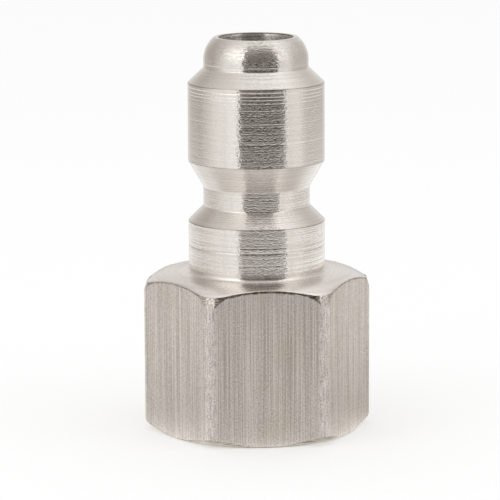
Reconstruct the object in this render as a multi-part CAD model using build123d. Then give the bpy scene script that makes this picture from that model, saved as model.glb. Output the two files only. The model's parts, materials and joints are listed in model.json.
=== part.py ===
from build123d import *
import math
import os

# Quick coupling plug: one piece turned from drawn hexagon bar.
# The axis is Z. The hex end rests on Z = 0 and the nose points up.
# Lengths are in millimetres. A cone's angle is measured from the axis to its side, in degrees.

# Hexagon bar
hex_across_flats = 17.46
hex_corner_radius = 1.3

# Hex end: a wide chamfer scallops the flats, and a steeper relief takes off the corners
hex_length = 13.8
hex_face_diameter = 16.54
hex_chamfer_angle = 60.0
corner_relief_diameter = 19.1
corner_relief_angle = 17.0
base_face_diameter = 17.2
base_chamfer_angle = 65.0

# Collar behind the locking groove
collar_diameter = 11.8
collar_length = 4.5
collar_cone_length = 1.3
collar_foot_radius = 0.3

# Locking groove
groove_diameter = 9.2
groove_length = 1.7
groove_root_radius = 0.15

# Locking land, held by the cone on its groove side
land_diameter = 11.8
land_length = 6.75
land_cone_length = 2.25

# Nose, with its seal cylinder and dome
nose_diameter = 9.06
nose_length = 2.6
nose_shoulder_length = 1.3
nose_root_radius = 0.15
dome_radius = 2.55
mouth_face_diameter = 7.24

# Flow passage
passage_diameter = 6.35
mouth_break = 0.08

# Threaded socket in the hex end, at the size of its tapping drill
socket_diameter = 11.1
socket_depth = 12.0
socket_lead_diameter = 14.0
socket_lead_angle = 45.0
drill_point_angle = 59.0

# Break that the turning tool leaves on outer edges
edge_break = 0.1

# Room between the bar's corners and the outline that clears them
bar_clearance = 0.5

# Radii, from the diameters above
flat_reach = hex_across_flats / 2
corner_reach = (flat_reach - hex_corner_radius) / math.cos(math.pi / 6) + hex_corner_radius
clear_radius = corner_reach + bar_clearance
hex_face_radius = hex_face_diameter / 2
corner_relief_radius = corner_relief_diameter / 2
base_face_radius = base_face_diameter / 2
collar_radius = collar_diameter / 2
groove_radius = groove_diameter / 2
land_radius = land_diameter / 2
nose_radius = nose_diameter / 2
mouth_face_radius = mouth_face_diameter / 2
passage_radius = passage_diameter / 2
socket_radius = socket_diameter / 2
socket_lead_radius = socket_lead_diameter / 2

# Heights of the turned steps, from the hex end up to the mouth
collar_top = hex_length + collar_length
groove_bottom = collar_top + collar_cone_length
groove_top = groove_bottom + groove_length
land_bottom = groove_top + land_cone_length
land_top = land_bottom + land_length
nose_bottom = land_top + nose_shoulder_length
overall_length = nose_bottom + nose_length


def cone_height(wide_radius, narrow_radius, angle):
    """Height that a cone needs to go from one radius to the other."""
    return (wide_radius - narrow_radius) / math.tan(math.radians(angle))


def hexagon_bar():
    """Drawn bar as long as the plug, with rounded corners and a flat towards -Y."""
    section = RegularPolygon(flat_reach, 6, major_radius=False)
    section = fillet(section.vertices(), hex_corner_radius)
    return extrude(section, overall_length)


def corners_at(outline, places):
    """Corners of an outline that lie nearest to the given places."""
    return [outline.vertices().sort_by_distance(place)[0] for place in places]


def turned_outline():
    """Half section that the turning tool follows, as radius and height."""
    relief_top = hex_length - cone_height(corner_relief_radius, hex_face_radius, hex_chamfer_angle)
    relief_bottom = relief_top - cone_height(clear_radius, corner_relief_radius, corner_relief_angle)
    chamfer_top = cone_height(clear_radius, base_face_radius, base_chamfer_angle)
    dome_reach = mouth_face_radius - (nose_radius - dome_radius)
    dome_bottom = overall_length - math.sqrt(dome_radius**2 - dome_reach**2)

    side = Polyline(
        (0, 0),
        (base_face_radius, 0),
        (clear_radius, chamfer_top),
        (clear_radius, relief_bottom),
        (corner_relief_radius, relief_top),
        (hex_face_radius, hex_length),
        (collar_radius, hex_length),
        (collar_radius, collar_top),
        (groove_radius, groove_bottom),
        (groove_radius, groove_top),
        (land_radius, land_bottom),
        (land_radius, land_top),
        (nose_radius, nose_bottom),
        (nose_radius, dome_bottom),
    )
    dome = RadiusArc(side @ 1, (mouth_face_radius, overall_length), -dome_radius)
    mouth_face = Polyline(dome @ 1, (0, overall_length), (0, 0))
    outline = make_face([*side.edges(), dome, *mouth_face.edges()])

    groove_roots = [(groove_radius, groove_bottom), (groove_radius, groove_top)]
    outer_edges = [
        (collar_radius, collar_top),
        (land_radius, land_bottom),
        (land_radius, land_top),
        (mouth_face_radius, overall_length),
    ]
    outline = fillet(corners_at(outline, [(collar_radius, hex_length)]), collar_foot_radius)
    outline = fillet(corners_at(outline, groove_roots), groove_root_radius)
    outline = fillet(corners_at(outline, [(nose_radius, nose_bottom)]), nose_root_radius)
    return chamfer(corners_at(outline, outer_edges), edge_break)


def bored_outline():
    """Half section of the threaded socket, its drill point and the flow passage."""
    lead_top = cone_height(socket_lead_radius, socket_radius, socket_lead_angle)
    drill_tip = socket_depth + cone_height(socket_radius, passage_radius, drill_point_angle)
    outline = Polyline(
        (0, 0),
        (socket_lead_radius, 0),
        (socket_radius, lead_top),
        (socket_radius, socket_depth),
        (passage_radius, drill_tip),
        (passage_radius, overall_length - mouth_break),
        (passage_radius + mouth_break, overall_length),
        (0, overall_length),
        (0, 0),
    )
    return make_face(outline.edges())


def turned(outline):
    """Solid that a half section sweeps out around the axis."""
    return revolve(Plane.XZ * outline, Axis.Z)


plug_body = (hexagon_bar() & turned(turned_outline())) - turned(bored_outline())

os.makedirs("parts", exist_ok=True)
export_step(plug_body, "parts/plug_body.step")
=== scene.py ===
"""Quick coupling plug, turned from drawn stainless hexagon bar, on a pale floor in soft studio light."""

import json
import logging
import math
from dataclasses import dataclass
from enum import Enum
from typing import Any, Iterable

import bpy
import numpy as np
from mathutils import Matrix, Vector


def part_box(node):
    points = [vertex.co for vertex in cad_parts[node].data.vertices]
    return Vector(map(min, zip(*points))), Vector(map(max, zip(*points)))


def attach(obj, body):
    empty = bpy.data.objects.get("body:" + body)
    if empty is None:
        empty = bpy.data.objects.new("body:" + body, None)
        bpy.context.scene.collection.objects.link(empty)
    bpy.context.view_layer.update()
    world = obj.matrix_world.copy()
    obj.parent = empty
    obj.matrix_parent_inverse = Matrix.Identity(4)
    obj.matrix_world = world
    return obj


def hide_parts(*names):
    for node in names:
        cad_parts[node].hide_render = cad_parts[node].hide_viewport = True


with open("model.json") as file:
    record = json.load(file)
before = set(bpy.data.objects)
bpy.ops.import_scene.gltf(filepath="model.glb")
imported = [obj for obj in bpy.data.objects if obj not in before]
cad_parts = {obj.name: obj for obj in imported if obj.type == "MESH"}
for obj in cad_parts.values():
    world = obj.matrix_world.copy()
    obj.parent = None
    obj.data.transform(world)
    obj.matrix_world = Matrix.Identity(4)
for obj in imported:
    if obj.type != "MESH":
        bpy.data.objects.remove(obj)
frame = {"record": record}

log = logging.getLogger("plug")

MM = 0.001
NODE = "plug_body"
BODY = "root"
TURNING_MAP = "turning"
TONE = "tone"
MAP_MM = 100.0
SIXTH = math.pi / 3
# Angle that keeps a column on a corner with its flat, and lengths in millimetres that count as none
NUDGE = 1e-6
SAME_PLACE = 1e-5
NO_LENGTH = 1e-9


class Surface(Enum):
    """The surfaces of the plug, each with a finish of its own."""

    TURNED = 0
    FACE = 1
    RELIEF = 2
    FLAT = 3
    CORNER = 4
    BASE = 5
    SOCKET = 6
    PASSAGE = 7
    EDGE = 8
    TIP = 9
    EDGE_SHADE = 10
    DOME = 11
    LIP = 12


class Lay(Enum):
    """The way that a tool's grooves run.

    The value turns the wide side of a highlight, which lies across the grooves, from the way round the axis.
    """

    ROUND = 0.25
    LENGTHWISE = 0.0


def linear(hex_colour: str) -> tuple[float, float, float, float]:
    """Turns an sRGB hex value into the linear colour that shaders take.

    Args:
        hex_colour: The colour, such as "#c8c0b4".

    Returns:
        Linear red, green, blue and an alpha of 1.
    """
    channels = [int(hex_colour[i:i + 2], 16) / 255 for i in (1, 3, 5)]
    bent = [c / 12.92 if c <= 0.04045 else ((c + 0.055) / 1.055) ** 2.4 for c in channels]
    return (bent[0], bent[1], bent[2], 1.0)


def add_node(tree: Any, kind: str, inputs: dict[Any, Any] | None = None, **settings: Any) -> Any:
    """Adds a node with its settings, values and links.

    Args:
        tree: The node tree that gets the node.
        kind: The node's type name.
        inputs: Input names or numbers, each with a value, an output socket to link, or a node whose first
            output is linked.
        settings: Properties of the node itself.

    Returns:
        The new node.
    """
    node = tree.nodes.new(kind)
    for name, value in settings.items():
        setattr(node, name, value)
    for key, value in (inputs or {}).items():
        source = value.outputs[0] if isinstance(value, bpy.types.Node) else value
        if isinstance(source, bpy.types.NodeSocket):
            tree.links.new(source, node.inputs[key])
        else:
            node.inputs[key].default_value = source
    return node


def new_material(name: str) -> tuple[bpy.types.Material, Any]:
    """Makes an empty node material.

    Args:
        name: The material's name.

    Returns:
        The material and its cleared node tree.
    """
    material = bpy.data.materials.new(name)
    material.use_nodes = True
    material.node_tree.nodes.clear()
    return material, material.node_tree


def link_object(name: str, data: Any) -> bpy.types.Object:
    """Puts data into the scene as an object at the origin.

    Args:
        name: The object's name.
        data: Its mesh, curve, light or camera.

    Returns:
        The new object.
    """
    made = bpy.data.objects.new(name, data)
    bpy.context.scene.collection.objects.link(made)
    return made


def seen_ray(tree: Any) -> Any:
    """Node that gives 1 where the camera or a mirroring surface looks, and 0 for all other light.

    Args:
        tree: The node tree that gets it.

    Returns:
        The node.
    """
    path = add_node(tree, "ShaderNodeLightPath")
    rays = {0: path.outputs["Is Camera Ray"], 1: path.outputs["Is Glossy Ray"]}
    return add_node(tree, "ShaderNodeMath", rays, operation="ADD")


def direction(azimuth: float, elevation: float) -> Vector:
    """Way out from the axis, by its angles in degrees. Azimuth 0 points towards -Y."""
    a, e = math.radians(azimuth), math.radians(elevation)
    return Vector((math.sin(a) * math.cos(e), -math.cos(a) * math.cos(e), math.sin(e)))


def soft_edge(inside: np.ndarray, width: float) -> np.ndarray:
    """Share that grows from 0 to 1 over a width round an edge, from the distances inside it."""
    return np.clip(inside / width + 0.5, 0, 1)


def run(*places: tuple[float, float]) -> list[np.ndarray]:
    """A run of points, from their radii and heights."""
    return [np.array(place) for place in places]


def round_axis(radius: np.ndarray, angles: np.ndarray, height: np.ndarray) -> np.ndarray:
    """Points in space, from their radii, angles and heights."""
    return np.stack([radius * np.cos(angles), radius * np.sin(angles), height], -1)


def mount_radius(name: str) -> float:
    """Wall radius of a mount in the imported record, in millimetres."""
    return next(m["dims"]["r_mm"] for m in frame["record"]["mounts"] if m["name"] == name)


@dataclass(frozen=True)
class CutSteel:
    """Austenitic stainless steel as a cutting tool or a drawing die leaves it.

    Fine parallel grooves smear a reflection across themselves and keep it sharp along themselves. Torn grains
    between them sparkle light and dark.

    Attributes:
        name: The material's name.
        lay: The way that the grooves run.
        light: Colour of the clean metal.
        dark: Colour of grooves and torn grains that hold shade.
        roughness: Roughness of the smooth stretches.
        rough_spread: How much rougher the worked stretches are.
        anisotropy: How far the grooves stretch a highlight.
        groove_mm: Spacing of the grooves.
        length_mm: Length over which one groove stays the same.
        groove_depth_mm: Depth of the grooves in the bump.
        tear_mm: Length of the short tears between the grooves.
        tear_depth_mm: Depth of the tears in the bump.
        tear_share: How much the tears count beside the grooves.
        contrast: How far the dark colour comes through.
        worked_levels: Levels of the marks' noise between which the metal goes from smooth to worked.
        mapped: Whether the surface carries the turning map. Without it the marks follow the height.
        stain: Colour of the oily stain that lies on the metal in patches.
        stain_mm: Width of a patch.
        stain_share: How strong the stain is where it is strongest.
        stained_levels: Levels of the patches' noise between which the metal goes from clean to stained.
    """

    name: str
    lay: Lay = Lay.ROUND
    light: str = "#e6e1da"
    dark: str = "#8d8379"
    roughness: float = 0.11
    rough_spread: float = 0.14
    anisotropy: float = 0.9
    groove_mm: float = 0.1
    length_mm: float = 12.0
    groove_depth_mm: float = 0.011
    tear_mm: float = 0.22
    tear_depth_mm: float = 0.015
    tear_share: float = 0.42
    contrast: float = 0.14
    worked_levels: tuple[float, float] = (0.42, 0.6)
    mapped: bool = True
    stain: str = "#dad3bf"
    stain_mm: float = 2.8
    stain_share: float = 0.0
    stained_levels: tuple[float, float] = (0.5, 0.68)

    def coordinates(self, tree: Any, length_mm: float) -> Any:
        """Coordinates in which one unit is a groove's spacing across the lay, and a given length along it.

        Args:
            tree: The material's node tree.
            length_mm: The length of one mark.

        Returns:
            A node whose first output holds them.
        """
        place = add_node(tree, "ShaderNodeTexCoord").outputs["Object"]
        across = 1 / (self.groove_mm * MM)
        along = 1 / (length_mm * MM)
        if self.lay is Lay.LENGTHWISE or not self.mapped:
            scale = (across, across, along) if self.lay is Lay.LENGTHWISE else (along, along, across)
            return add_node(tree, "ShaderNodeMapping", {"Vector": place, "Scale": scale})
        turning = add_node(tree, "ShaderNodeUVMap", uv_map=TURNING_MAP)
        here = add_node(tree, "ShaderNodeSeparateXYZ", {0: place}).outputs
        way = add_node(tree, "ShaderNodeSeparateXYZ", {0: turning}).outputs
        joined = add_node(tree, "ShaderNodeCombineXYZ", {0: here["X"], 1: here["Y"], 2: way["Y"]})
        scale = (along, along, MAP_MM / self.groove_mm)
        return add_node(tree, "ShaderNodeMapping", {"Vector": joined, "Scale": scale})

    def clean(self, tree: Any) -> Any:
        """Colour of the metal between its marks, with its stain where it has one.

        Args:
            tree: The material's node tree.

        Returns:
            A colour, or a colour output.
        """
        if not self.stain_share:
            return linear(self.light)
        place = add_node(tree, "ShaderNodeTexCoord").outputs["Object"]
        patches = add_node(
            tree, "ShaderNodeTexNoise", {"Vector": place, "Scale": 1 / (self.stain_mm * MM), "Detail": 1.0}
        )
        low, high = self.stained_levels
        share = add_node(
            tree, "ShaderNodeMapRange",
            {"Value": patches, "From Min": low, "From Max": high, "To Max": self.stain_share},
        )
        return add_node(
            tree, "ShaderNodeMix", {0: share, 6: linear(self.light), 7: linear(self.stain)}, data_type="RGBA"
        ).outputs[2]

    def build(self) -> bpy.types.Material:
        """Builds the material.

        Returns:
            The finished material.
        """
        material, tree = new_material(self.name)
        grooves = add_node(
            tree, "ShaderNodeTexNoise",
            {"Vector": self.coordinates(tree, self.length_mm), "Scale": 1.0, "Detail": 1.5, "Roughness": 0.6},
        )
        tears = add_node(
            tree, "ShaderNodeTexNoise",
            {"Vector": self.coordinates(tree, self.tear_mm), "Scale": 1.0, "Detail": 1.0},
        )
        mixed = add_node(tree, "ShaderNodeMix", {0: self.tear_share, 2: grooves, 3: tears}, data_type="FLOAT")
        low, high = self.worked_levels
        worked = add_node(tree, "ShaderNodeMapRange", {"Value": mixed, "From Min": low, "From Max": high})
        shade = add_node(tree, "ShaderNodeMath", {0: worked, 1: self.contrast}, operation="MULTIPLY")
        colour = add_node(
            tree, "ShaderNodeMix", {0: shade, 6: self.clean(tree), 7: linear(self.dark)}, data_type="RGBA"
        )
        roughest = self.roughness + self.rough_spread
        rough = add_node(
            tree, "ShaderNodeMapRange", {"Value": worked, "To Min": self.roughness, "To Max": roughest}
        )
        torn = add_node(tree, "ShaderNodeBump", {"Height": tears, "Distance": self.tear_depth_mm * MM})
        depth = self.groove_depth_mm * MM
        cut = add_node(tree, "ShaderNodeBump", {"Height": grooves, "Distance": depth, "Normal": torn})
        if self.mapped:
            tangent = add_node(tree, "ShaderNodeTangent", direction_type="UV_MAP", uv_map=TURNING_MAP)
        else:
            tangent = add_node(tree, "ShaderNodeTangent", direction_type="RADIAL", axis="Z")
        metal = add_node(
            tree, "ShaderNodeBsdfPrincipled",
            {
                "Base Color": colour.outputs[2], "Metallic": 1.0, "Roughness": rough,
                "Anisotropic": self.anisotropy, "Anisotropic Rotation": self.lay.value,
                "Normal": cut, "Tangent": tangent,
            },
        )
        add_node(tree, "ShaderNodeOutputMaterial", {"Surface": metal})
        return material


# The real feed and draw marks are about 0.05 mm apart. They are drawn at 0.075 mm and more, or they wouldn't
# show at this size.
FINISHES = {
    # Turned with a fine feed: reflections run up and down in streaks, with crisp upright edges.
    Surface.TURNED: CutSteel("turned_stainless"),
    # The dome, dented by the sockets that it enters: mottled, with a softer shine.
    Surface.DOME: CutSteel(
        "dented_stainless", roughness=0.13, rough_spread=0.2, tear_mm=0.3, tear_depth_mm=0.024,
        tear_share=0.6, contrast=0.18
    ),
    # Faced with a sharp tool: the smoothest and brightest surface, with faint rings.
    Surface.FACE: CutSteel(
        "faced_stainless", light="#f0eae5", roughness=0.21, rough_spread=0.1, groove_mm=0.16,
        groove_depth_mm=0.005, tear_depth_mm=0.002, contrast=0.12
    ),
    # Torn over at the upper edges of the front and back flats by the cut across the bar: ragged, dark with
    # painted shade.
    Surface.RELIEF: CutSteel(
        "torn_stainless", light="#a89f92", dark="#524b43", roughness=0.35, rough_spread=0.15,
        length_mm=0.3, contrast=0.9
    ),
    # The same cut on the rubbed corners: bright, with pits.
    Surface.TIP: CutSteel(
        "pitted_stainless", light="#e8e1d9", dark="#6b635a", roughness=0.25, groove_mm=0.14,
        length_mm=0.2, groove_depth_mm=0.03, tear_mm=0.14, tear_depth_mm=0.03, contrast=0.6
    ),
    # Drawn bar skin: dull, with long fine lines along the axis that spread light sideways.
    Surface.FLAT: CutSteel(
        "drawn_stainless", lay=Lay.LENGTHWISE, light="#e6dfd8", dark="#7d7369", roughness=0.42,
        rough_spread=0.1, anisotropy=0.7, groove_mm=0.075, length_mm=14.0, groove_depth_mm=0.012,
        tear_mm=0.16, tear_depth_mm=0.012, contrast=0.5, stain_share=0.35
    ),
    # The bar's rounded corners, rubbed by the die: a little brighter, and speckled.
    Surface.CORNER: CutSteel(
        "drawn_corner_stainless", lay=Lay.LENGTHWISE, light="#ede6e0", dark="#7d7369", roughness=0.4,
        anisotropy=0.5, length_mm=1.0, groove_depth_mm=0.008, tear_mm=0.12, tear_depth_mm=0.014,
        tear_share=0.5, contrast=0.45, stain_share=0.35
    ),
    # Faced and chamfered from behind: plain turning marks.
    Surface.BASE: CutSteel("faced_base_stainless", roughness=0.3, contrast=0.3),
    # The hex end's other edges: darker lines round the flats, painted shade under the scallop edges and along
    # the foot.
    Surface.EDGE_SHADE: CutSteel(
        "scuffed_stainless", light="#ccc5b8", dark="#6b6458", roughness=0.35, tear_mm=0.3, contrast=0.6
    ),
    # Cut by the tap and the drill: dull and lined.
    Surface.SOCKET: CutSteel("tapped_stainless", roughness=0.34, contrast=0.6),
    # Bored through and torn: rough enough to catch light from above the mouth.
    Surface.PASSAGE: CutSteel(
        "drilled_stainless", light="#f4f0ea", roughness=0.3, rough_spread=0.2, anisotropy=1.0,
        groove_mm=0.14, groove_depth_mm=0.035, tear_depth_mm=0.012, contrast=0.5
    ),
    # The mouth's inner edge: a thin dark line of painted shade along the rim.
    Surface.LIP: CutSteel(
        "torn_lip_stainless", light="#857c71", dark="#4d463f", roughness=0.35, tear_mm=0.3, contrast=0.7
    ),
    # The tool's break on an outer edge: a thin line, darker and duller than the turned metal.
    Surface.EDGE: CutSteel(
        "broken_edge_stainless", light="#bab2a8", dark="#6b635a", roughness=0.24, tear_mm=0.8, contrast=0.6
    ),
}

# Cut by the tap: bright flanks with chatter along the helix.
THREAD_FINISH = CutSteel(
    "tapped_thread_stainless", roughness=0.3, rough_spread=0.15, anisotropy=0.5, contrast=0.4, mapped=False
)
# Metal pushed out of the edge, too small to hold a lay.
BURR_FINISH = CutSteel(
    "burr_stainless", light="#e8e1d9", dark="#4d463f", roughness=0.3, anisotropy=0.0, length_mm=0.3,
    contrast=0.7, mapped=False
)


def grown(name: str, base: bpy.types.ID, tree: Any, values: dict[str, Any]) -> bpy.types.Object:
    """Runs a Geometry Nodes tree and keeps its result as a plain mesh.

    Args:
        name: The finished piece's name.
        base: The mesh that the tree starts from.
        tree: The Geometry Nodes tree.
        values: The tree's named inputs.

    Returns:
        The finished piece, with no modifier.
    """
    piece = link_object(name, base)
    modifier = piece.modifiers.new("grow", "NODES")
    modifier.node_group = tree
    for item in tree.interface.items_tree:
        if item.name in values:
            modifier[item.identifier] = values[item.name]
    bpy.context.view_layer.update()
    shape = piece.evaluated_get(bpy.context.evaluated_depsgraph_get())
    mesh = bpy.data.meshes.new_from_object(shape)
    mesh.name = name
    piece.modifiers.remove(modifier)
    piece.data = mesh
    return piece


def new_tree(name: str, sizes: dict[str, str]) -> tuple[Any, Any]:
    """Makes a Geometry Nodes tree with geometry in and out, named inputs and a material.

    Args:
        name: The tree's name.
        sizes: Each named input with its socket type.

    Returns:
        The tree and the outputs of its input node.
    """
    tree = bpy.data.node_groups.new(name, "GeometryNodeTree")
    tree.interface.new_socket("Geometry", in_out="INPUT", socket_type="NodeSocketGeometry")
    for size, kind in {**sizes, "Material": "NodeSocketMaterial"}.items():
        tree.interface.new_socket(size, in_out="INPUT", socket_type=kind)
    tree.interface.new_socket("Geometry", in_out="OUTPUT", socket_type="NodeSocketGeometry")
    return tree, add_node(tree, "NodeGroupInput").outputs


def end_tree(tree: Any, given: Any, shape: Any) -> Any:
    """Ends a tree with real geometry that wears its material.

    Args:
        tree: The tree.
        given: The outputs of its input node.
        shape: The node that makes the shape.

    Returns:
        The finished tree.
    """
    real = add_node(tree, "GeometryNodeRealizeInstances", {0: shape})
    dressed = add_node(tree, "GeometryNodeSetMaterial", {0: real, "Material": given["Material"]})
    add_node(tree, "NodeGroupOutput", {0: dressed})
    return tree


@dataclass
class Ring:
    """A loop of points round the axis, one for each column, in millimetres.

    Attributes:
        radius: Distance of each point from the axis.
        height: Height of each point.
        surface: The surface between this loop and the next.
    """

    radius: np.ndarray
    height: np.ndarray
    surface: Surface


@dataclass(frozen=True)
class Corner:
    """A corner of the turned outline, in millimetres.

    Attributes:
        radius: Distance from the axis.
        height: Height above the base face.
        rounding: Radius that the tool leaves there.
        surface: The surface of that rounding.
    """

    radius: float
    height: float
    rounding: float
    surface: Surface = Surface.TURNED

    def point(self) -> np.ndarray:
        """The corner as radius and height."""
        return np.array([self.radius, self.height])


@dataclass(frozen=True)
class ToolLine:
    """A deeper line that the tool cut, in millimetres.

    Attributes:
        place: Its height on a cylinder, or its radius on a face.
        depth: How deep it is in its middle.
        width: Distance from its middle to either side, where it ends.
    """

    place: float
    depth: float
    width: float

    def points(self) -> list[tuple[float, float]]:
        """Places across the line, each with its depth there."""
        shares = (-1.0, -0.5, 0.0, 0.5, 1.0)
        return [(self.place + s * self.width, self.depth * (1 + math.cos(s * math.pi)) / 2) for s in shares]


def rounded(before: np.ndarray, corner: Corner, after: np.ndarray, steps: int) -> list[np.ndarray]:
    """Points of the arc that rounds a corner.

    Args:
        before: A point on the line that comes in.
        corner: The corner with its rounding.
        after: A point on the line that goes out.
        steps: Spans along the arc.

    Returns:
        The arc's points, both ends among them.
    """
    tip = corner.point()
    back = (before - tip) / np.linalg.norm(before - tip)
    on = (after - tip) / np.linalg.norm(after - tip)
    half = math.acos(float(np.clip(back @ on, -1, 1))) / 2
    centre = tip + (back + on) / np.linalg.norm(back + on) * corner.rounding / math.sin(half)
    start = tip + back * corner.rounding / math.tan(half) - centre
    end = tip + on * corner.rounding / math.tan(half) - centre
    sweep = math.pi - 2 * half
    shares = np.linspace(0, 1, steps + 1)
    whole = math.sin(sweep)
    weights = [(math.sin((1 - s) * sweep) / whole, math.sin(s * sweep) / whole) for s in shares]
    return [centre + start * a + end * b for a, b in weights]


@dataclass
class PlugBody:
    """The plug's one solid, as rings of points from the mouth down its outside and back up its inside.

    Sizes are in millimetres and angles in degrees. What the frame holds is read from it. Corners and flats
    are counted from 0 round the axis from +X, so flat 4 is the front one.

    Attributes:
        flat_support: Share of a flat's height at which a row keeps its upper edge crisp.
        support: Distance from an edge at which a row keeps it crisp.
        finish_allowance: How far the bar's skin lies inside the solid's.
        face_bend: Length over which the chamfer bends into the face.
        bend_reach: How many such lengths inwards its rows start.
        rubbed_share: Share of each rounded corner that the die rubbed.
        tip_share: Share of each rounded corner that is pitted at its top.
        relief_widths: Width of the relief above each flat.
        relief_softness: Length over which the flats' narrow relief passes into the corners' wide one.
        relief_shares: Places of its rows across the relief.
        ragged: Share of a relief's width that is always there, and shares that its grain and lumps add.
        lump_columns: Columns under one lump.
        torn_shaded_flats: Flats whose relief is torn and wears a dark colour painted as the shade under its
            lip.
        tip_rows: Rows of the relief that are pitted at a corner.
        relief_radii: Radius at which the relief starts at each corner.
        base_rounding_limit: Largest share of its overhang that the base's rounding takes up.
        base_end: Share of the base's chamfer that its last row keeps from the base face.
        fine_share: Share of the fine lines in the draw lines' depth.
        fine_sharpness: How rare the deep ones are among the fine lines.
        broad_columns: Columns under one broad draw line.
    """

    # Mesh: points round the axis, spans along roundings and spacing of rows
    columns: int = 432
    arc_steps: int = 4
    mouth_steps: int = 3
    dome_steps: int = 23
    chamfer_steps: int = 7
    flat_rows: int = 6
    flat_support: float = 0.004
    row_spacing: float = 1.1
    inner_spacing: float = 5.0
    support: float = 0.03
    finish_allowance: float = 0.02

    # Hexagon end: its chamfer bends into the face, and the relief below it is torn and rubbed
    hex_length: float = 13.8
    hex_face_radius: float = 8.27
    hex_chamfer_slope: float = 30.0
    face_bend: float = 0.35
    bend_reach: float = 3.0
    rubbed_share: float = 1.0
    tip_share: float = 0.7
    relief_angle: float = 17.0
    relief_widths: tuple[float, ...] = (0.03, 0.035, 0.03, 0.03, 0.055, 0.03)
    relief_softness: float = 0.12
    relief_shares: tuple[float, ...] = (0.0, 0.12, 0.5, 0.88)
    ragged: tuple[float, float, float] = (0.35, 0.6, 0.5)
    lump_columns: int = 3
    torn_shaded_flats: tuple[int, ...] = (1, 4)
    tip_rows: int = 2
    relief_radii: tuple[float, ...] = (9.62, 9.52, 9.55, 9.62, 9.54, 9.6)
    base_face_radius: float = 8.6
    base_chamfer_slope: float = 25.0
    base_rounding: float = 0.35
    base_rounding_limit: float = 0.6
    base_end: float = 0.1

    # Turned steps from the collar up to the mouth, with the roundings that the tools leave
    collar_top: float = 18.3
    groove_bottom: float = 19.6
    groove_top: float = 21.3
    groove_radius: float = 4.6
    land_bottom: float = 23.55
    land_top: float = 30.3
    nose_bottom: float = 31.6
    nose_radius: float = 4.53
    dome_radius: float = 2.55
    mouth_face_radius: float = 3.62
    mouth_break: float = 0.08
    foot_rounding: float = 0.32
    root_rounding: float = 0.15
    land_rounding: float = 0.09
    cone_rounding: float = 0.08
    mouth_rounding: float = 0.06

    # Threaded socket
    socket_depth: float = 12.0
    socket_lead_radius: float = 7.0
    thread_root_radius: float = 6.8
    thread_taper: float = 1 / 32
    thread_length: float = 10.6
    drill_point_angle: float = 59.0

    # Traces of the tools: deeper lines, from the nose down to the collar and on the hexagon's face, and draw
    # lines along the bar
    tool_lines: tuple[ToolLine, ...] = (
        ToolLine(31.9, 0.02, 0.07), ToolLine(29.96, 0.03, 0.1), ToolLine(29.63, 0.022, 0.09),
        ToolLine(29.36, 0.018, 0.08), ToolLine(29.05, 0.01, 0.08), ToolLine(28.45, 0.006, 0.07),
        ToolLine(27.3, 0.01, 0.07), ToolLine(25.6, 0.006, 0.07), ToolLine(16.72, 0.012, 0.07),
        ToolLine(16.27, 0.03, 0.1), ToolLine(15.2, 0.006, 0.07),
    )
    face_lines: tuple[ToolLine, ...] = (
        ToolLine(6.42, 0.014, 0.08), ToolLine(6.76, 0.02, 0.1), ToolLine(7.08, 0.012, 0.08),
    )
    draw_depth: float = 0.006
    fine_share: float = 0.6
    fine_sharpness: int = 3
    broad_columns: int = 4
    draw_seed: int = 5

    def __post_init__(self) -> None:
        """Reads the frame's sizes and works out what the rings share."""
        low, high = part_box(NODE)
        self.flat_reach = high.y / MM
        self.corner_reach = high.x / MM
        self.length = (high.z - low.z) / MM
        self.land_radius = mount_radius("locking_land")
        self.collar_radius = mount_radius("collar")
        self.socket_radius = mount_radius("pipe_socket")
        self.passage_radius = mount_radius("flow_passage")
        self.angles = np.arange(self.columns) * 2 * math.pi / self.columns
        self.rings: list[Ring] = []

    def bar_reach(self) -> np.ndarray:
        """Works out the bar's skin with its draw lines, and which columns lie on its rubbed corners.

        Returns:
            The skin's distance from the axis, for each column.
        """
        flat = self.flat_reach - self.finish_allowance
        tip = self.corner_reach - self.finish_allowance
        spread = 1 / math.cos(SIXTH / 2)
        rounding = (flat * spread - tip) / (spread - 1)
        centre = (flat - rounding) * spread
        turn = np.abs(np.mod(self.angles, SIXTH) - SIXTH / 2)
        tangent = math.atan((flat - rounding) * math.tan(SIXTH / 2) / flat)
        from_corner = SIXTH / 2 - turn
        on_corner = centre * np.cos(from_corner) + np.sqrt(
            np.maximum(rounding**2 - (centre * np.sin(from_corner)) ** 2, 0)
        )
        self.rubbed = from_corner < self.rubbed_share * (SIXTH / 2 - tangent)
        self.tips = from_corner < self.tip_share * (SIXTH / 2 - tangent)
        reach = np.where(turn > tangent, on_corner, flat / np.cos(turn))
        draws = np.random.default_rng(self.draw_seed)
        fine = draws.random(self.columns) ** self.fine_sharpness
        broad = np.repeat(draws.random(self.columns // self.broad_columns), self.broad_columns)
        return reach - self.draw_depth * (self.fine_share * fine + (1 - self.fine_share) * broad)

    def relief_start(self, reach: np.ndarray) -> np.ndarray:
        """Works out where the steep relief takes over from the wide chamfer.

        Args:
            reach: The skin's distance from the axis, for each column.

        Returns:
            The radius of that place, for each column.
        """
        place = self.angles / SIXTH
        corner = np.floor(place).astype(int)
        blend = (1 - np.cos((place - corner) * math.pi)) / 2
        radii = np.array(self.relief_radii)
        relief = radii[corner % 6] * (1 - blend) + radii[(corner + 1) % 6] * blend
        burrs = np.random.default_rng(self.draw_seed + 1)
        lumps = np.repeat(burrs.random(self.columns // self.lump_columns), self.lump_columns)
        least, grain, lump = self.ragged
        ragged = least + grain * burrs.random(self.columns) + lump * lumps
        narrow = reach - np.array(self.relief_widths)[corner % 6] * ragged
        soft = self.relief_softness
        return narrow - soft * np.log1p(np.exp((narrow - relief) / soft))

    def add_point(self, radius: float, height: float, surface: Surface) -> None:
        """Adds a level ring of one radius."""
        ones = np.ones(self.columns)
        self.rings.append(Ring(ones * radius, ones * height, surface))

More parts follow.
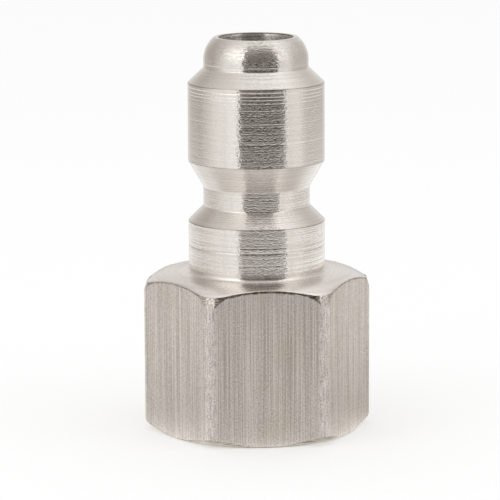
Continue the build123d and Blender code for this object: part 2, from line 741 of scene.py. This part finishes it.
    def add_line(
        self, points: list[np.ndarray], surface: Surface, curved: bool = False, spacing: float | None = None
    ) -> None:
        """Adds level rings along a run of points.

        Args:
            points: The run, as radius and height.
            surface: The surface along it.
            curved: Whether the run is a curve, which needs no rows between its points.
            spacing: Spacing of the rows between its points, where it isn't the outside's.
        """
        for here, after in zip(points, points[1:]):
            gap = float(np.linalg.norm(after - here))
            shares = [0.0]
            if gap > 3 * self.support and not curved:
                rows = max(1, round(gap / (spacing or self.row_spacing)))
                shares += [self.support / gap, *(i / rows for i in range(1, rows)), 1 - self.support / gap]
            for share in shares:
                point = here + (after - here) * share
                self.add_point(point[0], point[1], surface)
        self.add_point(points[-1][0], points[-1][1], surface)

    def add_wall(self, top: np.ndarray, bottom: np.ndarray) -> None:
        """Adds the rings of a turned stretch, with the tool lines that lie on it.

        Args:
            top: Its upper end, as radius and height.
            bottom: Its lower end.
        """
        points = [top]
        if abs(top[0] - bottom[0]) < self.support:
            lines = [t for t in self.tool_lines if bottom[1] + t.width < t.place < top[1] - t.width]
            for line in sorted(lines, key=lambda t: -t.place):
                points += run(*((top[0] - depth, place) for place, depth in reversed(line.points())))
        self.add_line([*points, bottom], Surface.TURNED)

    def turned_side(self) -> None:
        """Adds the rings from the mouth's edge down to the hex face."""
        corners = [
            Corner(self.nose_radius, self.nose_bottom, self.root_rounding),
            Corner(self.land_radius, self.land_top, self.land_rounding, Surface.EDGE),
            Corner(self.land_radius, self.land_bottom, self.cone_rounding, Surface.EDGE),
            Corner(self.groove_radius, self.groove_top, self.root_rounding),
            Corner(self.groove_radius, self.groove_bottom, self.root_rounding),
            Corner(self.collar_radius, self.collar_top, self.cone_rounding, Surface.EDGE),
            Corner(self.collar_radius, self.hex_length, self.foot_rounding, Surface.FACE),
        ]
        centre = self.nose_radius - self.dome_radius
        reach = math.acos((self.mouth_face_radius - centre) / self.dome_radius)
        dome_bottom = self.length - self.dome_radius * math.sin(reach)
        dome = [
            np.array([centre + self.dome_radius * math.cos(t), dome_bottom + self.dome_radius * math.sin(t)])
            for t in np.linspace(reach, 0, self.dome_steps + 1)
        ]
        mouth = np.array([self.passage_radius + self.mouth_break, self.length])
        edge = Corner(self.mouth_face_radius, self.length, self.mouth_rounding)
        arc = rounded(mouth, edge, dome[1], self.mouth_steps)
        self.add_line([mouth, *arc, *dome[1:]], Surface.DOME, curved=True)
        chain = [dome[-1], *(c.point() for c in corners), np.array([self.hex_face_radius, self.hex_length])]
        here = dome[-1]
        for i, corner in enumerate(corners):
            arc = rounded(chain[i], corner, chain[i + 2], self.arc_steps)
            self.add_wall(here, arc[0])
            self.add_line(arc, corner.surface)
            here = arc[-1]
        for line in self.face_lines:
            for place, depth in line.points():
                self.add_point(place, self.hex_length - depth, Surface.FACE)

    def hex_rings(self) -> None:
        """Adds the hex end's rings: wide chamfer, steep relief, flats and base chamfer."""
        reach = self.bar_reach()
        start = self.relief_start(reach)
        slope = math.tan(math.radians(self.hex_chamfer_slope))
        steep = 1 / math.tan(math.radians(self.relief_angle))
        base_slope = math.tan(math.radians(self.base_chamfer_slope))
        bend = self.face_bend
        inner = self.hex_face_radius - self.bend_reach * bend
        full = slope * bend * np.logaddexp(0, (start - self.hex_face_radius) / bend)
        for share in np.linspace(0, 1, self.chamfer_steps + 1):
            radius = inner + share * (start - inner)
            fall = slope * bend * np.logaddexp(0, (radius - self.hex_face_radius) / bend)
            fall = fall * (start - self.hex_face_radius) * slope / full
            self.rings.append(Ring(radius, self.hex_length - fall, Surface.FACE))
        edge = self.hex_length - (start - self.hex_face_radius) * slope
        self.scallop = (start, edge)
        for share in self.relief_shares:
            radius = start + share * (reach - start)
            self.rings.append(Ring(radius, edge - (radius - start) * steep, Surface.RELIEF))
        top = edge - (reach - start) * steep
        overhang = reach - self.base_face_radius
        bottom = overhang * base_slope
        bend = np.minimum(self.base_rounding, self.base_rounding_limit * overhang)
        for share in (0.0, self.flat_support, *(i / self.flat_rows for i in range(1, self.flat_rows + 1))):
            self.rings.append(Ring(reach, top + share * (bottom + bend - top), Surface.FLAT))
        # The foot's rounding wears the edge shade finish: a darker line painted as shade along the hex's
        # bottom edge.
        for share in np.linspace(0, 1, self.arc_steps + 1)[1:]:
            radius = reach - share**2 * bend
            height = bottom + (1 - share) ** 2 * bend - share**2 * bend * base_slope
            self.rings.append(Ring(radius, height, Surface.EDGE_SHADE))
        radius = self.base_face_radius + self.base_end * (overhang - bend)
        self.rings.append(Ring(radius, (radius - self.base_face_radius) * base_slope, Surface.EDGE_SHADE))

    def scallop_points(self) -> np.ndarray:
        """Points of the edge between the wide chamfer and the steep relief, in millimetres."""
        radius, height = self.scallop
        return round_axis(radius, self.angles, height)

    def inner_rings(self) -> None:
        """Adds the base face, the tapped socket, the drill point and the flow passage."""
        lead, root, wall, passage = (
            self.socket_lead_radius, self.thread_root_radius, self.socket_radius, self.passage_radius,
        )
        drill_tip = self.socket_depth + (wall - passage) / math.tan(math.radians(self.drill_point_angle))
        inner_root = root - self.thread_length * self.thread_taper
        thread_end = self.thread_length + inner_root - wall
        runs = (
            (Surface.BASE, run((self.base_face_radius, 0.0), (lead, 0.0))),
            (Surface.BASE, run((lead, 0.0), (root, lead - root))),
            (Surface.SOCKET, run((root, lead - root), (inner_root, self.thread_length), (wall, thread_end))),
            (Surface.SOCKET, run((wall, self.socket_depth), (passage, drill_tip))),
            (Surface.PASSAGE, run((passage, drill_tip), (passage, self.length - self.mouth_break))),
        )
        for surface, points in runs:
            self.add_line(points, surface, spacing=self.inner_spacing)
        # The mouth's inner edge wears the lip finish: a dark line painted as shade along the rim.
        self.rings[-1].surface = Surface.LIP

    def build(self) -> bpy.types.Object:
        """Builds the solid's mesh and dresses it.

        Returns:
            The finished piece.
        """
        self.turned_side()
        self.hex_rings()
        self.inner_rings()
        self.drop_doubles()
        piece = link_object("turned_plug", self.mesh())
        for surface in Surface:
            piece.data.materials.append(FINISHES[surface].build())
        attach(piece, BODY)
        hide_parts(NODE)
        return piece

    def drop_doubles(self) -> None:
        """Removes rings that lie on the ring before them."""
        kept = [self.rings[0]]
        for ring in self.rings[1:]:
            last = kept[-1]
            gap = np.hypot(ring.radius - last.radius, ring.height - last.height)
            if gap.max() > SAME_PLACE:
                kept.append(ring)
            else:
                last.surface = ring.surface
        self.rings = kept

    def mesh(self) -> bpy.types.Mesh:
        """Joins the rings into one closed skin with its finishes and its turning map.

        Returns:
            The skin, with its faces pointing outwards.
        """
        n, count = self.columns, len(self.rings)
        radius = np.stack([r.radius for r in self.rings])
        height = np.stack([r.height for r in self.rings])
        points = round_axis(radius, self.angles, height) * MM
        row, column = np.meshgrid(np.arange(count), np.arange(n), indexing="ij")
        below, beside = (row + 1) % count, (column + 1) % n
        faces = np.stack([row * n + column, below * n + column, below * n + beside, row * n + beside], -1)
        mesh = bpy.data.meshes.new("turned_plug")
        mesh.from_pydata(points.reshape(-1, 3).tolist(), [], faces.reshape(-1, 4).tolist())
        mesh.polygons.foreach_set("material_index", self.finishes().reshape(-1).astype(np.int32))
        mesh.polygons.foreach_set("use_smooth", np.ones(count * n, bool))
        maps = self.turning_map(radius, height)
        mesh.uv_layers.new(name=TURNING_MAP).data.foreach_set("uv", maps.reshape(-1).astype(np.float32))
        mesh.validate()
        mesh.update()
        return mesh

    def finishes(self) -> np.ndarray:
        """Works out which finish each face wears.

        Returns:
            The number of its surface, for each ring and column.
        """
        surfaces = np.array([r.surface.value for r in self.rings])
        kinds = np.repeat(surfaces[:, None], self.columns, 1)
        rubbed, tips = (np.flatnonzero(near & np.roll(near, -1)) for near in (self.rubbed, self.tips))
        relief = np.flatnonzero(surfaces == Surface.RELIEF.value)
        flat = np.flatnonzero(surfaces == Surface.FLAT.value)
        flats = np.floor((self.angles + NUDGE) / SIXTH).astype(int)
        # Only the front and back flats keep the torn relief, with its painted shade.
        plain = np.flatnonzero(~np.isin(flats, self.torn_shaded_flats))
        # The other flats' relief wears the edge shade finish: a darker line painted as shade under the
        # scallop edge.
        kinds[np.ix_(relief, plain)] = Surface.EDGE_SHADE.value
        kinds[np.ix_(flat, rubbed)] = Surface.CORNER.value
        kinds[np.ix_(relief[:self.tip_rows], tips)] = Surface.TIP.value
        kinds[np.ix_(relief[self.tip_rows:], tips)] = Surface.CORNER.value
        return kinds

    def turning_map(self, radius: np.ndarray, height: np.ndarray) -> np.ndarray:
        """Lays a map over the skin, with the way round the axis as U and the way along the profile as V.

        Args:
            radius: Each point's distance from the axis, for each ring and column.
            height: Each point's height, for each ring and column.

        Returns:
            U and V at the four corners of each face.
        """
        profile = np.stack([radius.mean(1), height.mean(1)], -1)
        step = np.roll(profile, -1, 0) - profile
        length = np.maximum(np.hypot(*step.T), NO_LENGTH)
        travel = step / length[:, None]
        start = np.concatenate([[0], np.cumsum(length)[:-1]]) - (profile * travel).sum(1)

        def way(rings_r: np.ndarray, rings_z: np.ndarray) -> np.ndarray:
            """Distance along the profile's own direction, so that the map's lines stay level."""
            return (start[:, None] + rings_r * travel[:, :1] + rings_z * travel[:, 1:]) / MAP_MM

        here = way(radius, height)
        after = way(np.roll(radius, -1, 0), np.roll(height, -1, 0))
        one = 1 / self.columns
        turn = np.repeat(np.arange(self.columns)[None, :] / self.columns, len(self.rings), 0)
        near_side = [turn, here, turn, after]
        far_side = [turn + one, np.roll(after, -1, 1), turn + one, np.roll(here, -1, 1)]
        return np.stack(near_side + far_side, -1)


@dataclass
class PipeThread:
    """Tapered inch pipe thread in the socket, right-handed. Sizes are in millimetres."""

    pitch: float = 25.4 / 18
    start_height: float = 0.75
    end_height: float = 10.4
    taper: float = 1 / 32
    tooth: float = 1.0
    flank_angle: float = 30.0
    bite: float = 0.03
    points_per_turn: int = 64
    run_out_turns: float = 0.6
    run_out_size: float = 0.05

    def tree(self) -> Any:
        """The tree that winds a tooth along the helix.

        Returns:
            The Geometry Nodes tree.
        """
        sizes = (
            "Turns", "Start Radius", "End Radius", "Height", "Start Height", "Root", "Crest", "Tooth",
            "Run Out",
        )
        tree, given = new_tree("wind_thread", dict.fromkeys(sizes, "NodeSocketFloat"))
        helix = add_node(
            tree, "GeometryNodeCurveSpiral",
            {
                "Resolution": self.points_per_turn, "Rotations": given["Turns"],
                "Start Radius": given["Start Radius"], "End Radius": given["End Radius"],
                "Height": given["Height"], "Reverse": True,
            },
        )
        lift = add_node(tree, "ShaderNodeCombineXYZ", {2: given["Start Height"]})
        raised = add_node(tree, "GeometryNodeTransform", {0: helix, "Translation": lift})
        level = add_node(tree, "GeometryNodeSetCurveNormal", {0: raised}, mode="Z_UP")
        tooth = add_node(
            tree, "GeometryNodeCurvePrimitiveQuadrilateral",
            {
                "Bottom Width": given["Root"], "Top Width": given["Crest"],
                "Height": given["Tooth"], "Offset": 0.0,
            },
            mode="TRAPEZOID",
        )
        inward = add_node(tree, "ShaderNodeMath", {0: given["Tooth"], 1: -0.5}, operation="MULTIPLY")
        shift = add_node(tree, "ShaderNodeCombineXYZ", {0: inward})
        placed = add_node(
            tree, "GeometryNodeTransform", {0: tooth, "Translation": shift, "Rotation": (0, 0, math.pi / 2)}
        )
        along = add_node(tree, "GeometryNodeSplineParameter").outputs["Factor"]
        to_end = add_node(tree, "ShaderNodeMath", {0: 1.0, 1: along}, operation="SUBTRACT")
        nearest = add_node(tree, "ShaderNodeMath", {0: along, 1: to_end}, operation="MINIMUM")
        share = add_node(
            tree, "ShaderNodeMapRange",
            {"Value": nearest, "From Max": given["Run Out"], "To Min": self.run_out_size},
        )
        wound = add_node(
            tree, "GeometryNodeCurveToMesh",
            {"Curve": level, "Profile Curve": placed, "Scale": share, "Fill Caps": True},
        )
        sharp = add_node(tree, "GeometryNodeSetShadeSmooth", {0: wound, "Shade Smooth": False})
        return end_tree(tree, given, sharp)

    def build(self, body: PlugBody, material: bpy.types.Material) -> bpy.types.Object:
        """Winds the thread inside the body's socket.

        Args:
            body: The plug's body, whose socket wall carries the thread.
            material: The tapped steel.

        Returns:
            The finished piece.
        """
        height = self.end_height - self.start_height
        turns = height / self.pitch
        wall = body.thread_root_radius + self.bite
        values = {
            "Turns": turns,
            "Start Radius": (wall - self.start_height * self.taper) * MM,
            "End Radius": (wall - self.end_height * self.taper) * MM,
            "Height": height * MM,
            "Start Height": self.start_height * MM,
            "Root": self.pitch * MM,
            "Crest": (self.pitch - 2 * self.tooth * math.tan(math.radians(self.flank_angle))) * MM,
            "Tooth": self.tooth * MM,
            "Run Out": self.run_out_turns / turns,
            "Material": material,
        }
        piece = grown("pipe_thread", bpy.data.meshes.new("pipe_thread_seed"), self.tree(), values)
        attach(piece, BODY)
        return piece


@dataclass
class EdgeBurr:
    """Crumbs of torn metal along the scalloped edges of the hex end. Sizes are in millimetres."""

    spacing: float = 0.13
    share: float = 0.3
    smallest: float = 0.02
    largest: float = 0.055
    squat: tuple[float, float, float] = (1.0, 0.6, 0.8)
    seed: int = 11

    def tree(self) -> Any:
        """The tree that sets crumbs along the edge.

        Returns:
            The Geometry Nodes tree.
        """
        sizes = dict.fromkeys(("Spacing", "Share", "Smallest", "Largest"), "NodeSocketFloat")
        tree, given = new_tree("set_burr", {**sizes, "Seed": "NodeSocketInt"})
        edge = add_node(tree, "GeometryNodeMeshToCurve", {0: given["Geometry"]})
        steps = add_node(
            tree, "GeometryNodeResampleCurve", {0: edge, "Length": given["Spacing"]}, mode="LENGTH"
        )
        crumb = add_node(tree, "GeometryNodeMeshIcoSphere", {"Radius": 1.0, "Subdivisions": 1})
        drawn = add_node(
            tree, "FunctionNodeRandomValue", {6: given["Share"], "Seed": given["Seed"]}, data_type="BOOLEAN"
        )
        size = add_node(
            tree, "FunctionNodeRandomValue",
            {2: given["Smallest"], 3: given["Largest"], "Seed": given["Seed"]},
            data_type="FLOAT",
        )
        turn = add_node(
            tree, "FunctionNodeRandomValue",
            {0: (0.0, 0.0, 0.0), 1: (math.pi, math.pi, math.pi), "Seed": given["Seed"]},
            data_type="FLOAT_VECTOR",
        )
        squat = add_node(tree, "ShaderNodeVectorMath", {0: self.squat, 3: size.outputs[1]}, operation="SCALE")
        crumbs = add_node(
            tree, "GeometryNodeInstanceOnPoints",
            {
                "Points": steps, "Selection": drawn.outputs[3], "Instance": crumb,
                "Rotation": turn, "Scale": squat,
            },
        )
        return end_tree(tree, given, crumbs)

    def build(self, body: PlugBody, material: bpy.types.Material) -> bpy.types.Object:
        """Sets the crumbs along the body's scalloped edge.

        Args:
            body: The plug's body, with its edge's points.
            material: The torn steel.

        Returns:
            The finished piece.
        """
        points = body.scallop_points() * MM
        count = len(points)
        edge = bpy.data.meshes.new("scalloped_edge")
        edge.from_pydata(points.tolist(), [(i, (i + 1) % count) for i in range(count)], [])
        values = {
            "Spacing": self.spacing * MM, "Share": self.share, "Smallest": self.smallest * MM,
            "Largest": self.largest * MM, "Seed": self.seed, "Material": material,
        }
        piece = grown("edge_burr", edge, self.tree(), values)
        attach(piece, BODY)
        return piece


@dataclass
class Tent:
    """Light tent round the plug that only reflections see, with its bright and dark sides.

    Azimuths are in degrees from the camera's side, towards the right of the picture, and elevations are in
    degrees. Sizes are in millimetres. A tone of 1 is the white of the tent. A place is the distance from the
    axis on the floor, and past the tent's foot the foot's distance plus the elevation.

    Attributes:
        camera_azimuth: The camera's side.
        radius: Radius of the tent.
        skirt_start: Radius at which its skirt on the floor starts, close to the hexagon.
        skirt_height: Height of the skirt above the floor.
        skirt_rows: Rows of points along the skirt.
        rises: Lowest and highest elevation of the tent's rows of points, and how many there are.
        azimuth_step: Spacing of its points round the axis.
        dark_colour: Colour that its light takes on where it is dark.
        bright_colour: Its light's colour where the tone is 1.
        tones: Places, each with its tones at some azimuths.
        card: Azimuths at which the black card on the camera's side starts and ends.
        card_tones: The card's tones at some azimuths.
        card_lift: How much lighter it is higher up.
        lift_start: Elevation at which it starts to get lighter.
        lift_rise: Degrees over which it does.
        card_edge: Width of its soft upright edges.
        card_top: Elevation up to which it is full.
        card_fade: Degrees over which it fades out above that.
        card_floor: How much of it shows at some places.
        back_card: Azimuth, half width and tone of the grey card behind the plug.
        back_edge: Width of that card's soft upright edges.
        back_top: Elevation at which it has faded out.
    """

    camera_azimuth: float
    radius: float = 180.0
    skirt_start: float = 8.75
    skirt_height: float = 0.05
    skirt_rows: int = 48
    rises: tuple[float, float, int] = (2.0, 89.0, 44)
    azimuth_step: float = 0.5
    dark_colour: str = "#fff3ea"
    bright_colour: str = "#ffffff"
    tones: tuple[tuple[float, tuple[tuple[float, float], ...]], ...] = (
        (8.75, ((0, 1.3),)),
        (9.6, ((0, 1.1),)),
        (11.0, ((0, 0.95),)),
        (16.0, (
            (-180, 0.9), (-140, 0.84), (-110, 0.83), (-98, 0.76), (-85, 0.74), (-60, 0.8), (-28, 0.9),
            (45, 0.95), (57, 0.84), (64, 0.7), (95, 0.63), (112, 0.73), (128, 0.88), (150, 0.88), (180, 0.9),
        )),
        (38.0, (
            (-180, 0.92), (-140, 0.88), (-110, 0.94), (-98, 0.84), (-85, 0.8), (-60, 0.84), (-28, 0.94),
            (45, 1.0), (57, 0.88), (64, 0.76), (95, 0.72), (112, 0.84), (128, 0.98), (150, 0.9), (180, 0.92),
        )),
        (60.0, (
            (-180, 0.95), (-140, 1.06), (-110, 1.04), (-92, 0.97), (-75, 0.96), (-60, 1.0), (-54, 0.94),
            (-48, 1.04), (-28, 1.02), (50, 1.25), (52, 1.2), (54, 1.04), (58, 1.0), (62, 1.05), (80, 1.1),
            (110, 1.08), (131, 1.15), (180, 0.95),
        )),
        (90.0, (
            (-180, 0.95), (-140, 1.03), (-110, 1.01), (-92, 0.98), (-75, 0.98), (-60, 1.02), (-54, 0.95),
            (-48, 1.06), (-28, 1.04), (50, 1.25), (52, 1.2), (54, 1.0), (58, 0.97), (62, 1.05), (80, 1.1),
            (110, 1.06), (131, 1.1), (180, 0.95),
        )),
        (180.0, (
            (-180, 0.76), (-160, 0.82), (-145, 0.6), (-125, 0.5), (-107, 0.41), (-92, 0.62), (-72, 0.84),
            (-59, 0.86), (-54, 0.79), (-48, 0.9), (-29, 0.98), (49, 1.08), (51.5, 1.0), (53.5, 0.7),
            (57, 0.68), (61, 0.76), (76, 0.79), (92, 0.52), (145, 0.58), (160, 0.82), (180, 0.76),
        )),
        (220.0, (
            (-180, 0.85), (-155, 0.66), (-130, 0.5), (-90, 0.7), (-56, 1.6), (-28, 1.68), (0, 1.0),
            (60, 1.25), (76, 1.1), (90, 0.8), (130, 0.66), (155, 0.77), (180, 0.85),
        )),
        (246.0, (
            (-180, 0.95), (-130, 0.85), (-110, 0.78), (-77, 0.78), (-60, 0.85), (-40, 0.98), (0, 1.05),
            (50, 1.1), (80, 1.18), (110, 1.08), (180, 0.95),
        )),
        (256.0, ((-180, 0.95), (-77, 0.9), (0, 1.06), (77, 1.1), (180, 0.95))),
        (270.0, ((0, 1.05),)),
    )
    card: tuple[float, float] = (-28.8, 49.4)
    card_tones: tuple[tuple[float, float], ...] = (
        (-28.8, 0.08), (-15, 0.03), (15, 0.0), (35, 0.02), (49.4, 0.1),
    )
    card_lift: float = 0.22
    lift_start: float = 8.0
    lift_rise: float = 14.0
    card_edge: float = 1.0
    card_top: float = 53.0
    card_fade: float = 24.0
    card_floor: tuple[tuple[float, float], ...] = (
        (16, 0.17), (60, 0.2), (76, 0.26), (82, 0.37), (86, 0.32), (96, 0.35), (118, 0.45), (124, 0.62),
        (134, 1.0),
    )
    back_card: tuple[float, float, float] = (180.0, 14.0, 0.6)
    back_edge: float = 6.0
    back_top: float = 12.0

    def tone(self, azimuth: np.ndarray, way: np.ndarray) -> np.ndarray:
        """The tent's tone in each direction.

        Args:
            azimuth: The sides.
            way: The places.

        Returns:
            The tones.
        """
        wrapped = (azimuth + 180) % 360 - 180
        elevation = np.maximum(way - self.radius, 0)
        places = [place for place, _ in self.tones]
        rows = np.stack([np.interp(wrapped, *zip(*row)) for _, row in self.tones])
        above = np.clip(np.searchsorted(places, way), 1, len(places) - 1)
        low, high = np.array(places)[above - 1], np.array(places)[above]
        share = np.clip((way - low) / (high - low), 0, 1)
        at = np.indices(way.shape)
        tone = rows[above - 1, at[0], at[1]] * (1 - share) + rows[above, at[0], at[1]] * share

        near = np.interp(way, *zip(*self.card_floor))
        fade = np.clip((self.card_top + self.card_fade - elevation) / self.card_fade, 0, 1)
        inside = np.minimum(wrapped - self.card[0], self.card[1] - wrapped)
        share = soft_edge(inside, self.card_edge) * near * fade
        lift = self.card_lift * np.clip((elevation - self.lift_start) / self.lift_rise, 0, 1)
        tone = tone * (1 - share) + (np.interp(wrapped, *zip(*self.card_tones)) + lift) * share
        middle_azimuth, half, dark = self.back_card
        away = np.abs((azimuth - middle_azimuth + 180) % 360 - 180)
        share = soft_edge(half - away, self.back_edge) * np.clip(1 - elevation / self.back_top, 0, 1)
        return tone * (1 - share) + dark * share

    def build(self) -> bpy.types.Object:
        """Builds the tent as one lathe shape with its tones on its points.

        Returns:
            The tent.
        """
        azimuths = np.arange(0, 360, self.azimuth_step)
        skirt = np.geomspace(self.skirt_start, self.radius, self.skirt_rows)
        rises = np.linspace(*self.rises)
        radii = np.concatenate([skirt, self.radius * np.cos(np.radians(rises))])
        heights = np.concatenate(
            [np.full(len(skirt), self.skirt_height), self.radius * np.sin(np.radians(rises))]
        )
        spread, way = np.meshgrid(azimuths, np.concatenate([skirt, self.radius + rises]))
        tone = self.tone(spread, way)
        a = np.radians(spread + self.camera_azimuth)
        radius = np.repeat(radii[:, None], len(azimuths), 1)
        height = np.repeat(heights[:, None], len(azimuths), 1)
        points = np.stack([np.sin(a) * radius, -np.cos(a) * radius, height], -1) * MM
        n = len(azimuths)
        faces = [
            (i * n + j, i * n + (j + 1) % n, (i + 1) * n + (j + 1) % n, (i + 1) * n + j)
            for i in range(len(radii) - 1) for j in range(n)
        ]
        mesh = bpy.data.meshes.new("tent")
        mesh.from_pydata(points.reshape(-1, 3).tolist(), [], faces)
        values = tone.reshape(-1).astype(np.float32)
        mesh.attributes.new(TONE, "FLOAT", "POINT").data.foreach_set("value", values)
        material, tree = new_material("tent_cloth")
        level = add_node(tree, "ShaderNodeAttribute", attribute_name=TONE)
        colour = add_node(
            tree, "ShaderNodeMix",
            {0: level.outputs["Fac"], 6: linear(self.dark_colour), 7: linear(self.bright_colour)},
            data_type="RGBA",
        )
        glow = add_node(
            tree, "ShaderNodeEmission", {"Color": colour.outputs[2], "Strength": level.outputs["Fac"]}
        )
        add_node(tree, "ShaderNodeOutputMaterial", {"Surface": glow})
        mesh.materials.append(material)
        tent = link_object("tent", mesh)
        tent.visible_camera = False
        tent.visible_diffuse = False
        tent.visible_shadow = False
        tent.visible_transmission = False
        return tent


@dataclass
class PhotoCamera:
    """The photograph's camera, as its edges give it. Sizes are in millimetres and angles in degrees."""

    azimuth: float = -5.74
    elevation: float = 10.17
    roll: float = -0.298
    distance: float = 270.4
    lens: float = 223.87
    sensor: float = 36.0
    aim_right: float = -0.594
    aim_height: float = 15.58

    def build(self) -> bpy.types.Object:
        """Places the camera and makes it the scene's.

        Returns:
            The camera.
        """
        a, r = math.radians(self.azimuth), math.radians(self.roll)
        back = direction(self.azimuth, self.elevation)
        right = Vector((math.cos(a), math.sin(a), 0))
        up = back.cross(right)
        aim = right * self.aim_right + Vector((0, 0, self.aim_height))
        place = (aim + back * self.distance) * MM
        turned_right = right * math.cos(r) + up * math.sin(r)
        turned_up = up * math.cos(r) - right * math.sin(r)
        data = bpy.data.cameras.new("camera")
        data.sensor_width = self.sensor
        data.lens = self.lens
        camera = link_object("camera", data)
        axes = Matrix((turned_right, turned_up, back)).transposed()
        camera.matrix_world = Matrix.Translation(place) @ axes.to_4x4()
        bpy.context.scene.camera = camera
        return camera


@dataclass(frozen=True)
class Softbox:
    """A square lamp that points at the plug.

    Attributes:
        name: Its name.
        azimuth: Its side, in degrees from the camera's side.
        elevation: Its height above the floor, in degrees.
        level: Its brightness, where 1 is white.
        distance: Its distance in millimetres.
        size: Its side length in millimetres.
    """

    name: str
    azimuth: float
    elevation: float
    level: float
    distance: float = 420.0
    size: float = 260.0

    def build(self, camera_azimuth: float) -> bpy.types.Object:
        """Puts up the lamp.

        Args:
            camera_azimuth: The camera's side, in degrees.

        Returns:
            The lamp, which neither the camera nor a mirroring surface sees.
        """
        back = direction(self.azimuth + camera_azimuth, self.elevation)
        data = bpy.data.lights.new(self.name, "AREA")
        data.size = self.size * MM
        data.energy = self.level * math.pi * (self.size * MM) ** 2
        lamp = link_object(self.name, data)
        lamp.location = back * self.distance * MM
        lamp.rotation_euler = back.to_track_quat("Z", "Y").to_euler()
        lamp.visible_camera = False
        lamp.visible_glossy = False
        return lamp


@dataclass
class Studio:
    """Pale floor, white surroundings and soft lamps. Sizes are in millimetres.

    Attributes:
        camera_azimuth: The camera's side, in degrees.
        floor_reach: Half the floor's side.
        floor_drop: How far the floor lies under the plug.
        floor_lift: Light that the floor adds where it is seen, so that it turns out nearly white.
        floor_colour: The floor's paint.
        sky_light: Brightness of the surroundings as light, where they are seen as 1.
        lamps: The soft lamps.
    """

    camera_azimuth: float
    floor_reach: float = 2000.0
    floor_drop: float = 0.02
    floor_lift: float = 0.35
    floor_colour: str = "#f2f2f2"
    sky_light: float = 0.85
    lamps: tuple[Softbox, ...] = (
        Softbox("key_softbox", azimuth=-45.0, elevation=48.0, level=0.5),
        Softbox("fill_softbox", azimuth=60.0, elevation=40.0, level=0.3),
    )

    def build(self) -> None:
        """Builds the floor, the tent, the lamps and the world."""
        self.floor()
        Tent(self.camera_azimuth).build()
        for lamp in self.lamps:
            lamp.build(self.camera_azimuth)
        self.world()

    def floor(self) -> bpy.types.Object:
        """Lays a pale floor that keeps the plug's soft shadow.

        Returns:
            The floor.
        """
        half = self.floor_reach * MM
        sides = ((-1, -1), (1, -1), (1, 1), (-1, 1))
        corners = [(x * half, y * half, -self.floor_drop * MM) for x, y in sides]
        mesh = bpy.data.meshes.new("floor")
        mesh.from_pydata(corners, [], [(0, 1, 2, 3)])
        material, tree = new_material("pale_floor")
        paint = add_node(tree, "ShaderNodeBsdfDiffuse", {"Color": linear(self.floor_colour)})
        lift = add_node(tree, "ShaderNodeMath", {0: seen_ray(tree), 1: self.floor_lift}, operation="MULTIPLY")
        glow = add_node(tree, "ShaderNodeEmission", {"Strength": lift})
        both = add_node(tree, "ShaderNodeAddShader", {0: paint, 1: glow})
        add_node(tree, "ShaderNodeOutputMaterial", {"Surface": both})
        mesh.materials.append(material)
        return link_object("floor", mesh)

    def world(self) -> None:
        """White surroundings, plain white to the camera and a little lower as light."""
        world = bpy.data.worlds.new("white_studio")
        bpy.context.scene.world = world
        world.use_nodes = True
        tree = world.node_tree
        tree.nodes.clear()
        level = add_node(tree, "ShaderNodeMapRange", {"Value": seen_ray(tree), "To Min": self.sky_light})
        sky = add_node(tree, "ShaderNodeBackground", {"Strength": level})
        add_node(tree, "ShaderNodeOutputWorld", {"Surface": sky})


def main() -> None:
    """Builds the plug, its camera and its studio."""
    logging.basicConfig(level=logging.INFO, format="%(name)s: %(message)s")
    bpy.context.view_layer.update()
    bpy.context.scene.view_settings.view_transform = "Standard"
    camera = PhotoCamera()
    camera.build()
    Studio(camera_azimuth=camera.azimuth).build()
    body = PlugBody()
    piece = body.build()
    thread = PipeThread().build(body, THREAD_FINISH.build())
    burr = EdgeBurr().build(body, BURR_FINISH.build())
    for made in (piece, thread, burr):
        log.info("%s: %d faces", made.name, len(made.data.polygons))


if __name__ == "__main__":
    main()
